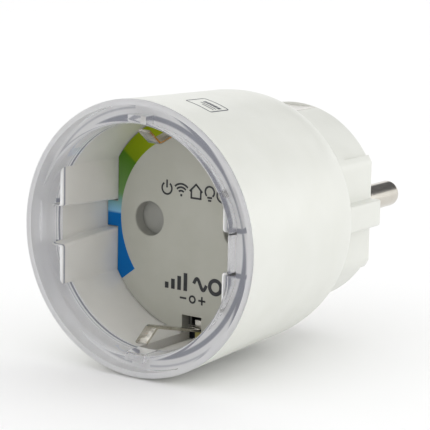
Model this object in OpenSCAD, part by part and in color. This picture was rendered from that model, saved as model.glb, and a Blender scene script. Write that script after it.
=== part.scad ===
// Smart plug for round sockets with side earth contacts: a pass-through mains plug
// with a clear light ring, a switching relay and a radio module inside.
// +Z is up, +Y points into the wall, and the origin is the centre of the plug's end face.

/* [Body] */
// Length from the front rim to the plug's end face
body_len = 49.5; // [47:0.5:70]
// Width of the clear front ring, from the well to the outer edge
ring_w = 4.1; // [3.6:0.1:7]
// How much the housing's radius narrows towards its shoulder
taper = 1.1; // [0:0.1:2]
// Length of the rounded shoulder
shoulder_len = 9; // [6:0.5:12]
// Height of the step from the shoulder down to the plug's flange
shoulder_step = 0.7; // [0.2:0.1:2]
// Wall thickness of the housing
wall = 1.6; // [1.2:0.1:2]

/* [Socket well] */
// Room between the well's wall and the round outline of a plug
well_gap = 0.7; // [0.4:0.05:4]
// Depth of the well
well_depth = 17.5; // [15:0.5:22]
// Room between a plug's rib and the floor of its guide channel
channel_gap = 0.3; // [0.2:0.05:0.4]
// Room between a plug's flat and the guide blocks
block_gap = 0.1; // [0.05:0.05:0.5]
// Width of a guide channel at the mouth
channel_w_mouth = 6.8; // [6:0.1:9]
// Room beside a plug's rib at the floor of the channel
channel_side = 0.1; // [0.05:0.05:0.3]
// How far the guide blocks stand back from the rim
block_setback = 2; // [1:0.1:4]
// Wall thickness of the clear liner
liner_wall = 1.4; // [1:0.1:2]
// Depth of the solid part of the clear ring
ring_depth = 5; // [3:0.1:8]
// Thickness of the socket floor
floor_t = 2; // [1.5:0.1:3]
// Thickness of the printed foil on the floor
foil_t = 0.15; // [0.1:0.05:0.3]

/* [Pins] */
// Distance between the two pins, and between the two pin holes
pin_pitch = 19; // [18:0.1:24]
// Diameter of a pin
pin_d = 4.8; // [4:0.1:5.8]
// Length of a pin outside the plug's end face
pin_len = 19; // [16:0.5:23]
// Length of the rounded tip
pin_tip = 1.6; // [0.5:0.1:2.3]
// Diameter of a pin hole in the floor
pin_hole_d = 6.1; // [5.2:0.1:7.4]

/* [Plug end] */
// Distance from a pin's axis to the round outline of the flange
pin_edge = 9.4; // [9.2:0.1:13]
// Length of the plug's flange
flange_len = 13; // [11:0.5:16]
// Thickness of the end plate
end_t = 2.4; // [2:0.1:3]
// Depth of a side flat below the round outline
flat_depth = 2.3; // [2:0.1:2.6]
// Depth of a guide rib's face below the round outline
rib_depth = 0.2; // [0.15:0.05:0.4]
// Width of a guide rib
rib_w = 4.8; // [4:0.1:5.2]
// Depth of the recess for the side earth contacts
recess_depth = 0.5; // [0.3:0.05:0.7]
// Length of that recess
recess_len = 8.4; // [6:0.1:9]
// Half of the angle that the recess covers
recess_angle = 57; // [40:1:58]
// Height of the female earth contact above the pins
earth_hole_z = 10; // [9.6:0.1:11]
// Diameter of the hole for the wall's earth pin
earth_hole_d = 5.5; // [5.3:0.1:5.7]
// Inner diameter of the female earth contact
earth_sleeve_d = 4.86; // [4.82:0.02:4.96]

/* [Earth contacts] */
// Width of a spring clip
clip_w = 2.4; // [2:0.1:3]
// Thickness of the clip's strip
clip_t = 0.5; // [0.4:0.05:0.7]
// How far the clip's bend stands in from the well's wall
clip_reach = 4; // [3.2:0.1:4.6]
// Distance of the bend behind the rim
clip_apex_depth = 5.8; // [5:0.1:7]
// How far the clip's tip stands in from the well's wall
clip_tip_in = 1.3; // [0.8:0.1:2.1]
// Distance of the tip behind the rim
clip_tip_depth = 2.6; // [2.4:0.1:3.4]
// Width of the earth strip inside
strap_w = 4; // [3:0.1:4.4]
// Thickness of the earth strip
strap_t = 0.6; // [0.4:0.05:0.8]
// Room behind the end plate for the pins' rear ends
bridge_gap = 9; // [8.4:0.1:9.2]
// Width of the strip's pad on the plug's side
pad_w = 8.8; // [7:0.1:10]

/* [Shutter] */
// Thickness of the rotary shutter
shutter_t = 1; // [0.8:0.1:1.2]
// Angle that opens the shutter
shutter_turn = 42; // [38:1:50]
// Radial clearance of the shutter on its hub
hub_gap = 0.05; // [0.02:0.01:0.1]

/* [Contacts and carrier] */
// Half of the height of the contact carrier
carrier_h = 8; // [7.6:0.1:9]
// Room around a contact sleeve in its chamber
chamber_gap = 0.2; // [0.1:0.05:0.4]
// Wall of the carrier beside a chamber
chamber_wall = 0.6; // [0.5:0.1:1]
// Radial room between a pin and its contact sleeve
sleeve_gap = 0.05; // [0.02:0.01:0.2]
// Wall thickness of a contact sleeve
sleeve_t = 0.9; // [0.6:0.1:1]
// Length of a contact sleeve
sleeve_len = 9; // [7:0.5:10]
// Distance of the two case screws from the axis
screw_z = 5.2; // [5:0.1:5.4]

/* [Boards] */
// Length of the boards along the axis
board_len = 10.4; // [10.2:0.1:12]
// Width of the two main boards
board_w = 30; // [29:0.5:32]
// Thickness of every board
board_t = 1; // [0.8:0.1:1.2]
// Number of lights around the well
led_count = 10; // [6:1:12]

/* [Button] */
// Diameter of the button
button_d = 5.2; // [4:0.1:6]
// Travel of the button
button_travel = 0.3; // [0.2:0.05:0.4]
// How far the button stands out of the housing
button_proud = 0.4; // [0.3:0.05:0.8]

/* [Hidden] */
$fn = 96;
eps = 0.01;
fit = 0.1;         // room between two fixed pieces
run = 0.15;        // room around a moving piece

// stations along the axis, from the rim to the pins
rim_y = -body_len;
floor_y = rim_y + well_depth;
floor_back = floor_y + floor_t;
shutter_y = floor_back + 0.2;
carrier_y = shutter_y + shutter_t + 0.2;
flange_y = -flange_len;
shoulder_y = flange_y - shoulder_len;
spigot_y = flange_y - wall - 0.4;
board_y0 = carrier_y + 2.6;
board_y1 = board_y0 + board_len;
chamber_end = floor_y + pin_len + 0.3;
carrier_back = chamber_end + 1;
bridge_y = -end_t - bridge_gap;
link_y = bridge_y + strap_t + 1.6;
collar_t = 1.6;
collar_y = -end_t - collar_t;

// radii
pin_x = pin_pitch / 2;
pin_r = pin_d / 2;
root_r = pin_r + 0.6;                // a pin's root inside the end plate
flange_r = pin_x + pin_edge;
rib_x = flange_r - rib_depth;
flat_x = flange_r - flat_depth;
well_r = flange_r + well_gap;
channel_x = rib_x + channel_gap;
block_x = flat_x + block_gap;
channel_w_floor = rib_w + 2 * channel_side;
liner_r = well_r + liner_wall + 0.2;
rim_r = well_r + ring_w;
neck_r = rim_r - taper;
lip_w = 1.05;                        // housing's front lip beside the ring
lip_depth = 1.15;                    // how far it stands behind the rim
shoulder_r = flange_r + shoulder_step;
spigot_r = flange_r - 0.9;
cavity_x = flat_x - 1.6;
pad_z = flange_r - recess_depth - 0.45;   // outer face of the plug's side contacts
cavity_z = pad_z - strap_t - 1.3;
shutter_r = pin_x + pin_hole_d / 2 + 0.65;
sleeve_r = pin_r + sleeve_gap + sleeve_t;
chamber_r = sleeve_r + chamber_gap;
carrier_x = pin_x + chamber_r + chamber_wall;
sleeve_y = carrier_y + 2.3;
chamber_y = sleeve_y + sleeve_len + 0.2;   // where a chamber narrows behind its sleeve
tail_r = pin_r + 0.35;               // narrow end of a chamber
disc_r = liner_r - 4;
hub_r = 1.5;
screw_r = 0.9;
screw_head_r = 1.6;
post_r = 1.8;
board_z = carrier_h + 0.2;
part_z = board_z + board_t + 0.1;    // where the parts on a board begin

// earth clip and strip
clip_z = well_r - 0.6;               // where the clip leaves the floor
clip_y = floor_back - 0.9;           // where it flexes
clip_apex_r = well_r - clip_reach;
clip_tip_r = well_r - clip_tip_in;
slot_w = clip_w + 1.4;
slot_r = liner_r + 0.5;
strap_z = clip_z - 0.1;              // outer face of the strip inside
aperture_w = slot_w + 0.4;
aperture_z = clip_z - 2.8;

// button and switch, on the left side
button_y = board_y0 + 2.7;
button_r = button_d / 2;
side_x = carrier_x + 0.2;            // inner face of the switch board
switch_h = 1.6;
plunger_h = 0.8;
plunger_x = side_x + board_t + switch_h + plunger_h;
function body_r(y) = rim_r - taper * (y - rim_y) / (shoulder_y - rim_y);

// ---- shapes that repeat ----

// points of an arc, in degrees
function arc(x, y, r, a0, a1, n = 8) =
    [for (i = [0:n]) let (a = a0 + (a1 - a0) * i / n) [x + r * cos(a), y + r * sin(a)]];

// a round bar along the axis
module rod(r, y0, y1, x = 0, z = 0)
    translate([x, y0, z]) rotate([-90, 0, 0]) cylinder(r = r, h = y1 - y0);

// a block given by its limits
module block(x, y, z)
    translate([x[0], y[0], z[0]]) cube([x[1] - x[0], y[1] - y[0], z[1] - z[0]]);

// a turned solid from [radius, y] points
module turned(points) rotate([-90, 0, 0]) rotate_extrude() polygon(points);

module both_sides() { children(); mirror([1, 0, 0]) children(); }
module top_and_bottom() { children(); mirror([0, 0, 1]) children(); }

// the four guide blocks, each g larger than in the well
module guide_blocks(y0, y1, g = 0)
    both_sides() top_and_bottom()
        translate([block_x - g, 0, 0]) rotate([90, 0, 90]) linear_extrude(well_r)
            polygon([[y0, channel_w_mouth / 2 - g], [floor_y, channel_w_floor / 2 - g],
                [y1, channel_w_floor / 2 - g], [y1, well_r + 2], [y0, well_r + 2]]);

// the inside of the well between two stations, g smaller than the well itself
module well_space(y0, y1, block_y, g = 0)
    difference() {
        intersection() {
            rod(well_r - g, y0, y1);
            block([-channel_x + g, channel_x - g], [y0, y1], [-well_r, well_r]);
        }
        guide_blocks(block_y, y1 + 1, g);
    }

// openings for the earth clips in the floor
module apertures(y0, y1)
    top_and_bottom()
        block([-aperture_w / 2, aperture_w / 2], [y0, y1], [aperture_z, well_r + 1]);

module pin_holes(r, y0, y1) both_sides() rod(r, y0, y1, pin_x);

// a wire along a helix around the axis
module coil(r, wire_r, y0, pitch, turns, steps = 22, sides = 8) {
    n = round(turns * steps);
    points = [for (i = [0:n], j = [0:sides - 1])
        let (a = 360 * i / steps, b = 360 * j / sides, q = r + wire_r * cos(b))
            [q * cos(a), y0 + pitch * i / steps + wire_r * sin(b), q * sin(a)]];
    walls = [for (i = [0:n - 1], j = [0:sides - 1])
        let (k = (j + 1) % sides) [i * sides + j, i * sides + k, (i + 1) * sides + k, (i + 1) * sides + j]];
    polyhedron(points, concat(walls,
        [[for (j = [sides - 1:-1:0]) j]], [[for (j = [0:sides - 1]) n * sides + j]]));
}

// ---- outside ----

module housing() color("#ecece6") {
    front = rim_y + lip_depth + 0.05;
    seat_y = rim_y + ring_depth + 0.1;
    open_r = spigot_r + fit;
    difference() {
        turned(concat(
            [[rim_r - lip_w + fit, front], [rim_r - 0.1, front], [rim_r, front + 0.1]],
            [for (i = [0:10]) let (a = 9 * i)
                [shoulder_r + (neck_r - shoulder_r) * cos(a), shoulder_y + shoulder_len * sin(a)]],
            [[open_r, flange_y], [open_r, flange_y - wall]],
            [for (i = [10:-1:0]) let (a = 9 * i)
                [open_r + 0.6 + (neck_r - wall - open_r - 0.6) * cos(a),
                    shoulder_y + (shoulder_len - wall) * sin(a)]],
            [[body_r(seat_y) - wall, seat_y], [rim_r - lip_w + fit, seat_y]]));
        translate([-rim_r - 2, button_y, 0]) rotate([0, 90, 0])
            cylinder(r = button_r + run, h = 8);
    }
}

module light_ring() color("#c9cdd6") {
    in_round = 0.8;
    out_round = 1.1;
    difference() {
        turned(concat([[0, rim_y]],
            arc(rim_r - out_round, rim_y + out_round, out_round, 270, 360),
            [[rim_r, rim_y + lip_depth], [rim_r - lip_w, rim_y + lip_depth],
                [rim_r - lip_w, rim_y + ring_depth], [liner_r, rim_y + ring_depth],
                [liner_r, floor_back], [0, floor_back]]));
        well_space(rim_y - 1, floor_back + 1, rim_y + block_setback);
        turned(concat([[0, rim_y - 1], [well_r + in_round, rim_y - 1]],
            arc(well_r + in_round, rim_y + in_round, in_round, 270, 180),
            [[0, rim_y + in_round]]));
        top_and_bottom()
            block([-slot_w / 2, slot_w / 2], [rim_y + 1.4, floor_back + 1], [well_r - 2, slot_r]);
        // the guide blocks are hollow from behind
        both_sides() top_and_bottom()
            block([block_x + liner_wall, liner_r + 1], [rim_y + block_setback + liner_wall, floor_back + 1],
                [channel_w_mouth / 2 + liner_wall, sqrt(well_r * well_r - block_x * block_x) - 1]);
    }
}

module socket_floor() color("#dcdcd4")
    difference() {
        well_space(floor_y, floor_back, rim_y, 0.08);
        pin_holes(pin_hole_d / 2, floor_y - 1, floor_back + 1);
        apertures(floor_y - 1, floor_back + 1);
        rod(hub_r + 0.2, floor_back - 0.6, floor_back + 1);
    }

module floor_foil() color("#a8a89c")
    difference() {
        well_space(floor_y - foil_t, floor_y, rim_y, 0.25);
        pin_holes(pin_hole_d / 2 + fit, floor_y - 1, floor_y + 1);
        apertures(floor_y - 1, floor_y + 1);
    }

module button_cap() color("#e4e4de") {
    top = body_r(button_y) + button_proud;
    base = plunger_x + 0.04;
    flange = body_r(button_y) - wall - button_travel - 0.8;
    flange_t = 0.7;
    translate([0, button_y, 0]) rotate([0, -90, 0]) rotate_extrude()
        polygon(concat([[0, base], [1.5, base], [1.5, flange - flange_t], [button_r + 0.7, flange - flange_t],
            [button_r + 0.7, flange], [button_r, flange]],
            arc(button_r - 0.4, top - 0.4, 0.4, 0, 90, 4), [[0, top]]));
}

// ---- plug end ----

module plug_base() color("#e9e9e3") {
    top_and_bottom() difference() {
        rod(post_r, carrier_back, 0.5 - end_t, 0, screw_z);
        rod(screw_r + 0.05, carrier_back - 1, -end_t - 1, 0, screw_z);
    }
    difference() {
        union() {
            difference() {
                rod(flange_r, flange_y, 0);
                both_sides() block([flat_x, flange_r + 1], [flange_y - 1, 1], [-flange_r, flange_r]);
            }
            rod(spigot_r, spigot_y, flange_y + 1);
            both_sides() difference() {
                block([flat_x - 1, rib_x], [flange_y, 0], [-rib_w / 2, rib_w / 2]);
                // each rib's end is bevelled towards the wall socket
                translate([rib_x, 0, 0]) rotate([0, 0, 45]) cube([0.8, 0.8, rib_w + 2], center = true);
            }
        }
        intersection() {
            rod(flange_r - 1.9, spigot_y - 1, -end_t);
            block([-cavity_x, cavity_x], [spigot_y - 1, 0], [-cavity_z, cavity_z]);
        }
        top_and_bottom() {
            side_recess();
            block([-pad_w / 2 - fit, pad_w / 2 + fit], [-recess_len, 1],
                [pad_z - strap_t - 0.05, flange_r + 1]);
            block([-strap_w / 2 - fit, strap_w / 2 + fit], [spigot_y - 1, 0],
                [pad_z - strap_t - 0.05, pad_z + 0.05]);
        }
        pin_holes(root_r + 0.05, -end_t - 1, 1);
        rod(earth_hole_d / 2, -end_t - 1, 1, 0, earth_hole_z);
    }
}

// a shallow sector cut into the flange, round the top earth contact
module side_recess()
    difference() {
        rod(flange_r + 1, -recess_len, 1);
        rod(flange_r - recess_depth, -recess_len - 1, 2);
        for (s = [0, 1]) mirror([s, 0, 0]) rotate([0, recess_angle - 90, 0])
            block([0, 2 * flange_r], [-recess_len - 1, 2], [-2 * flange_r, 0]);
    }

module pin_carrier() color("#7d7f80")
    difference() {
        rod(min(cavity_x, cavity_z) - 0.3, collar_y - 1.8, collar_y - 0.05);
        pin_holes(root_r + 0.05, collar_y - 3, collar_y + 1);
        top_and_bottom() rod(post_r + fit, collar_y - 3, collar_y + 1, 0, screw_z);
        rod(earth_sleeve_d / 2 + 0.65, collar_y - 3, collar_y + 1, 0, earth_hole_z);
    }

// one contact pin, with the collar that holds it behind the end plate
module contact_pin(x)
    translate([x, 0, 0]) turned(concat(
        [[0, link_y + 0.8], [root_r, link_y + 0.8], [root_r, collar_y], [root_r + 0.8, collar_y],
            [root_r + 0.8, -end_t], [root_r, -end_t], [root_r, 0], [pin_r, 0]],
        [for (i = [0:9]) let (a = 9 * i) [pin_r * cos(a), pin_len - pin_tip + pin_tip * sin(a)]],
        [[0, pin_len]]));

module line_pin() color("#b9b5aa") contact_pin(pin_x);
module neutral_pin() color("#b9b5aa") contact_pin(-pin_x);

// ---- socket side ----

module shutter() color("#9b9b94")
    difference() {
        rod(shutter_r, shutter_y, shutter_y + shutter_t);
        rod(hub_r + hub_gap, shutter_y - 1, shutter_y + shutter_t + 1);
        for (s = [0, 180]) rotate([0, s - shutter_turn, 0])
            rod(pin_hole_d / 2 + 0.2, shutter_y - 1, shutter_y + shutter_t + 1, pin_x);
    }

module shutter_spring() color("#a7a9ab")
    coil(hub_r + 0.9, 0.2, carrier_y + 0.3, 0.45, 2.3);

module contact_carrier() color("#d8d8d0") {
    disc_t = 2;
    difference() {
        union() {
            rod(disc_r - 0.4, carrier_y, carrier_y + disc_t);
            block([-carrier_x, carrier_x], [carrier_y + 1, chamber_y + 0.8], [-carrier_h, carrier_h]);
            block([-pin_x - tail_r - chamber_wall, pin_x + tail_r + chamber_wall],
                [carrier_y + 1, carrier_back], [-carrier_h, carrier_h]);
            rod(hub_r, shutter_y - 0.4, carrier_y + disc_t);
        }
        difference() {
            rod(hub_r + 1.7, carrier_y - 1, carrier_y + 1.5);
            rod(hub_r, shutter_y - 2, carrier_y + disc_t);
        }
        pin_holes(pin_hole_d / 2, carrier_y - 1, carrier_y + disc_t + 1);
        pin_holes(chamber_r, carrier_y + disc_t, chamber_y);
        pin_holes(tail_r, carrier_y + disc_t, chamber_end);
        top_and_bottom() {
            rod(screw_head_r + 0.15, carrier_y - 1, carrier_y + 4.6, 0, screw_z);
            rod(screw_r + fit, carrier_y, carrier_back + 1, 0, screw_z);
            // room for the earth strips
            block([-strap_w / 2 - 0.3, strap_w / 2 + 0.3], [carrier_y - 1, carrier_back],
                [strap_z - strap_t - 1.6, liner_r]);
        }
        // slots that let the contacts' tails out to the boards
        for (s = [0, 180]) rotate([0, s, 0])
            block([pin_x - 0.8, pin_x + 0.8], [board_y0 + 1.8, board_y0 + 4.2], [0, carrier_h + 1]);
        // room for the tip of the wall's earth pin
        rod(earth_sleeve_d / 2 + 0.9, carrier_back - 2.8, carrier_back + 1, 0, earth_hole_z);
    }
}

// split contact sleeve with the tail that is soldered to a board
module contact()
    difference() {
        union() {
            rod(sleeve_r, sleeve_y, sleeve_y + sleeve_len, pin_x);
            block([pin_x - 0.6, pin_x + 0.6], [board_y0 + 2, board_y0 + 4],
                [pin_r + 0.2, board_z + board_t + 0.4]);
        }
        rod(pin_r + sleeve_gap, sleeve_y - 1, sleeve_y + sleeve_len + 1, pin_x);
        block([pin_x - 5, pin_x + 5], [sleeve_y - 1, sleeve_y + 1.8], [-0.4, 0.4]);
    }

module line_contact() color("#b9ab7c") contact();
module neutral_contact() color("#b9ab7c") rotate([0, 180, 0]) contact();

// bent spring strip: its root flexes behind the floor, its bend touches the plug
module earth_clip() color("#c4beae") {
    apex_y = rim_y + clip_apex_depth;
    tip_y = rim_y + clip_tip_depth;
    // rolled root
    translate([-clip_w / 2, clip_y, clip_z - clip_t / 2]) rotate([0, 90, 0])
        cylinder(r = clip_t * 0.9, h = clip_w);
    translate([-clip_w / 2, 0, 0]) rotate([90, 0, 90]) linear_extrude(clip_w)
        polygon([[clip_y, clip_z], [floor_y + 1, clip_z], [floor_y, clip_z - 0.15],
            [apex_y + 1, clip_apex_r + 0.35 + clip_t], [apex_y, clip_apex_r + clip_t],
            [apex_y - 0.6, clip_apex_r + clip_t + 0.2], [tip_y + clip_t, clip_tip_r + 0.1],
            [tip_y, clip_tip_r - 0.2], [apex_y - 0.9, clip_apex_r + 0.2],
            [apex_y - 0.2, clip_apex_r], [apex_y + 0.8, clip_apex_r],
            [floor_y - 0.1, clip_z - 0.15 - clip_t], [floor_y + 1, clip_z - clip_t],
            [clip_y, clip_z - clip_t]]);
}

module earth_clip_top() earth_clip();
module earth_clip_bottom() mirror([0, 0, 1]) earth_clip();

// strip from the clip's root to the pad on the plug's side
module earth_strip() color("#bfb79f") {
    step_y = shoulder_y - strap_t;
    block([-strap_w / 2, strap_w / 2], [clip_y + 0.6, shoulder_y], [strap_z - strap_t, strap_z]);
    block([-0.5, strap_w / 2], [clip_y + 0.6, clip_y + 1.1], [strap_z - 1.6, strap_z]);
    block([-strap_w / 2, strap_w / 2], [step_y, shoulder_y], [pad_z - strap_t, strap_z]);
    block([-strap_w / 2, strap_w / 2], [step_y, -recess_len + 1], [pad_z - strap_t, pad_z]);
    block([-pad_w / 2, pad_w / 2], [-recess_len + 0.2, -0.8], [pad_z - strap_t, pad_z]);
}

module earth_strip_top() earth_strip();
module earth_strip_bottom() mirror([0, 0, 1]) earth_strip();

module earth_bridge() color("#bfb79f") {
    leg_z = cavity_z - 0.2;
    half_w = 3.2;
    difference() {
        block([-half_w, half_w], [bridge_y, bridge_y + strap_t], [-leg_z, leg_z]);
        top_and_bottom() rod(post_r + fit, bridge_y - 1, bridge_y + 2, 0, screw_z);
        rod(earth_sleeve_d / 2, bridge_y - 1, bridge_y + 2, 0, earth_hole_z);
    }
    top_and_bottom() {
        block([-strap_w / 2, strap_w / 2], [spigot_y - strap_t, bridge_y + strap_t], [leg_z - strap_t, leg_z]);
        block([-strap_w / 2, strap_w / 2], [spigot_y - strap_t, spigot_y], [leg_z - strap_t, pad_z - strap_t]);
    }
}

module earth_socket() color("#b9ab7c")
    difference() {
        rod(earth_sleeve_d / 2 + 0.55, bridge_y + strap_t, -end_t, 0, earth_hole_z);
        rod(earth_sleeve_d / 2, bridge_y - 1, 0, 0, earth_hole_z);
    }

// ---- inside ----

// flat link from a pin's rear end to a board
module pin_link() {
    rod(pin_r + 0.6, link_y, link_y + 0.8, pin_x);
    block([pin_x - 1, pin_x + 1], [link_y, link_y + 0.8], [0, board_z + board_t + 0.6]);
    block([pin_x - 1, pin_x + 1], [board_y1 - 1.8, link_y + 0.8],
        [board_z + board_t, board_z + board_t + 0.6]);
}

module line_link() color("#c08a4a") pin_link();
module neutral_link() color("#c08a4a") rotate([0, 180, 0]) pin_link();

module case_screws() color("#8f9294")
    top_and_bottom() difference() {
        union() {
            rod(screw_head_r, carrier_y + 3.4, carrier_y + 4.6, 0, screw_z);
            rod(screw_r, carrier_y + 4.5, -end_t - 1.4, 0, screw_z);
        }
        translate([0, carrier_y + 3.4, screw_z]) for (a = [0, 90]) rotate([0, a, 0])
            cube([0.5, 1.4, 2], center = true);
    }

// a main board with the slot for a contact's tail
module main_board()
    difference() {
        block([-board_w / 2, board_w / 2], [board_y0, board_y1], [board_z, board_z + board_t]);
        block([pin_x - 0.8, pin_x + 0.8], [board_y0 + 1.8, board_y0 + 4.2], [board_z - 1, board_z + 3]);
    }

module power_board() color("#2f6b45") main_board();
module control_board() color("#2f6b45") rotate([0, 180, 0]) main_board();

module relay() color("#2b4f86")
    difference() {
        block([-10.4, 6.2], [board_y0 + 0.2, board_y1 - 0.3], [part_z, part_z + 6.4]);
        // vent and moulded edge line
        block([-9.4, 5.2], [board_y0 + 1.2, board_y1 - 1.3], [part_z + 6.2, part_z + 7]);
    }

module capacitor() color("#30343a")
    difference() {
        rod(3, board_y0 + 4.5, board_y1 - 2.2, pin_x + 1, part_z + 3.1);
        difference() {
            rod(4, board_y0 + 5.1, board_y0 + 5.6, pin_x + 1, part_z + 3.1);
            rod(2.8, board_y0 + 5, board_y0 + 5.7, pin_x + 1, part_z + 3.1);
        }
    }

module transformer() color("#c9b24a") {
    mirror([0, 0, 1]) {
        block([-12.2, -4.4], [board_y0 + 0.4, board_y0 + 1.6], [part_z, part_z + 5.2]);
        block([-11.8, -4.8], [board_y0 + 1.6, board_y1 - 3.8], [part_z + 0.4, part_z + 4.8]);
        block([-12.2, -4.4], [board_y1 - 3.8, board_y1 - 2.6], [part_z, part_z + 5.2]);
    }
}

module radio_module() color("#9fa3a6") {
    mirror([0, 0, 1]) {
        block([-2.4, 12.6], [board_y0 + 0.3, board_y1 - 0.2], [part_z, part_z + 0.8]);
        block([-1.6, 8.4], [board_y0 + 1, board_y1 - 0.8], [part_z + 0.8, part_z + 2.8]);
    }
}

module fuse() color("#cfc7b8") {
    z = -part_z - 4.6;
    translate([-2, (board_y0 + board_y1) / 2, z]) rotate([0, 90, 0]) {
        cylinder(r = 1, h = 9);
        for (h = [0, 7.5]) translate([0, 0, h]) cylinder(r = 1.2, h = 1.5);
    }
}

module led_board() color("#e6e6e0") {
    y0 = floor_back + 0.7;
    difference() {
        rod(liner_r, y0, y0 + 0.8);
        rod(disc_r, y0 - 1, y0 + 2);
        top_and_bottom() block([-strap_w / 2 - 0.5, strap_w / 2 + 0.5], [y0 - 1, y0 + 2],
            [disc_r - 3, strap_z + 0.4]);
    }
}

module leds() color("#f2e9b0")
    for (i = [0:led_count - 1]) rotate([0, 360 * (i + 0.5) / led_count, 0])
        block([well_r - 0.4, liner_r - 0.3], [floor_back + 0.1, floor_back + 0.7], [-0.8, 0.8]);

module switch_board() color("#2f6b45")
    block([-side_x - board_t, -side_x], [board_y0, board_y1], [-carrier_h + 0.2, carrier_h - 0.2]);

module tact_switch() color("#3a3b3c")
    difference() {
        block([-side_x - board_t - switch_h, -side_x - board_t], [button_y - 2.25, button_y + 2.25], [-2.25, 2.25]);
        translate([-side_x - board_t - switch_h - 1, button_y, 0]) rotate([0, 90, 0])
            cylinder(r = 1.1 + run, h = 2.2);
    }

module switch_plunger() color("#d9d5c6")
    translate([-plunger_x, button_y, 0]) rotate([0, 90, 0]) cylinder(r = 1.1, h = plunger_h + 0.6);

housing();
light_ring();
socket_floor();
floor_foil();
shutter();
shutter_spring();
contact_carrier();
line_contact();
neutral_contact();
earth_clip_top();
earth_clip_bottom();
earth_strip_top();
earth_strip_bottom();
earth_bridge();
earth_socket();
plug_base();
pin_carrier();
line_pin();
neutral_pin();
line_link();
neutral_link();
case_screws();
power_board();
relay();
capacitor();
control_board();
transformer();
radio_module();
fuse();
led_board();
leds();
switch_board();
tact_switch();
switch_plunger();
button_cap();
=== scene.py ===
import math
import bmesh
import bpy
import numpy as np
from mathutils import Matrix, Vector


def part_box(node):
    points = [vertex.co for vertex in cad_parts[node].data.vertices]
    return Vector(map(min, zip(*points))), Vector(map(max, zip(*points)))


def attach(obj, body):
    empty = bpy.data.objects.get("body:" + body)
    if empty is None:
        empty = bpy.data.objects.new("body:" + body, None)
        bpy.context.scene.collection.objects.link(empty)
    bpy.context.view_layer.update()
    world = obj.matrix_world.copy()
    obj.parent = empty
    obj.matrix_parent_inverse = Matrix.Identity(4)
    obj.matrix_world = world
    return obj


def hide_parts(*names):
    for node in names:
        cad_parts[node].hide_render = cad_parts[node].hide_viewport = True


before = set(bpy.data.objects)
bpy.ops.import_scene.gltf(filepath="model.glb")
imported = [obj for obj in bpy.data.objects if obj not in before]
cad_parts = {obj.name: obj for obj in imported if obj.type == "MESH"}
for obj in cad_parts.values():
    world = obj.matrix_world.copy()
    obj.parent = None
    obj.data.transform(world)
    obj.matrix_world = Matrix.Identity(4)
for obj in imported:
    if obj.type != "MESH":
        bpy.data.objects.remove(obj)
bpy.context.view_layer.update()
mm = 0.001
print("frame loaded:", len(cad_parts), "nodes")

camera = {
    "place": (205.40, -318.74, 69.92),  # mm
    "aim": (-7.618, -19.5, -1.713),     # mm
    "roll": 1.057,                      # degrees
    "lens": 173.46, "sensor": 36,       # mm
    "shift": (0.0353, 0.0091),
    "clip": (0.01, 20),                 # m
}


def addCamera(d):
    data = bpy.data.cameras.new("camera")
    data.lens, data.sensor_width = d["lens"], d["sensor"]
    data.shift_x, data.shift_y = d["shift"]
    data.clip_start, data.clip_end = d["clip"]
    spot, aim = Vector(d["place"]) * mm, Vector(d["aim"]) * mm
    ahead = (aim - spot).normalized()
    levelRight = ahead.cross(Vector((0, 0, 1))).normalized()
    levelUp = levelRight.cross(ahead)
    roll = math.radians(d["roll"])
    right = levelRight * math.cos(roll) + levelUp * math.sin(roll)
    up = levelUp * math.cos(roll) - levelRight * math.sin(roll)
    axes = Matrix((right, up, -ahead)).transposed().to_4x4()
    seen = bpy.data.objects.new("camera", data)
    seen.matrix_world = Matrix.Translation(spot) @ axes
    bpy.context.scene.collection.objects.link(seen)
    bpy.context.scene.camera = seen


addCamera(camera)
bpy.context.scene.view_settings.view_transform = "Standard"


def hexColour(code):  # sRGB hex to linear
    c = np.array([int(code[i:i + 2], 16) for i in (1, 3, 5)]) / 255
    linear = np.where(c <= 0.04045, c / 12.92, ((c + 0.055) / 1.055) ** 2.4)
    return (*linear.tolist(), 1.0)


def addNode(material, kind, settings=None, inputs=None, output=0):
    # one node with its settings and links, which gives back one of its outputs; an input takes a
    # value or another node's output
    node = material.node_tree.nodes.new(kind)
    for key, value in (settings or {}).items():
        setattr(node, key, value)
    for key, value in (inputs or {}).items():
        if isinstance(value, bpy.types.NodeSocket):
            material.node_tree.links.new(value, node.inputs[key])
        else:
            node.inputs[key].default_value = value
    return node.outputs[output]


def newFinish(name, **constants):
    # a material with its shader; constants go on the shader's own sockets, with _ for a space
    material = bpy.data.materials.new(name)
    material.use_nodes = True
    shader = material.node_tree.nodes["Principled BSDF"]
    for key, value in constants.items():
        shader.inputs[key.replace("_", " ")].default_value = value
    return material, shader


def join(material, shader, **sockets):
    # links node outputs to the shader's inputs, with _ for a space
    for key, socket in sockets.items():
        material.node_tree.links.new(socket, shader.inputs[key.replace("_", " ")])


# The Mix node's colours are its inputs 6 and 7 and its output 2. The Map Range node's inputs are
# the value, the range it comes from, and the range it goes to, held at both ends.


def blotchesOf(material, sizeMm, detail=2, stretch=(1, 1, 1)):
    # noise whose blotches are about sizeMm across, on object coordinates
    where = addNode(material, "ShaderNodeTexCoord", output="Object")
    placed = addNode(material, "ShaderNodeMapping", None, {"Vector": where, "Scale": stretch})
    return addNode(material, "ShaderNodeTexNoise", None,
                   {"Vector": placed, "Scale": 1 / (sizeMm * mm), "Detail": detail}, "Fac")


def variedOf(material, sizeMm, detail, low, high, stretch=(1, 1, 1)):
    # a value that drifts from low to high in blotches about sizeMm across
    blotches = blotchesOf(material, sizeMm, detail, stretch)
    return addNode(material, "ShaderNodeMapRange", None,
                   {0: blotches, 1: 0.3, 2: 0.7, 3: low, 4: high})


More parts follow.
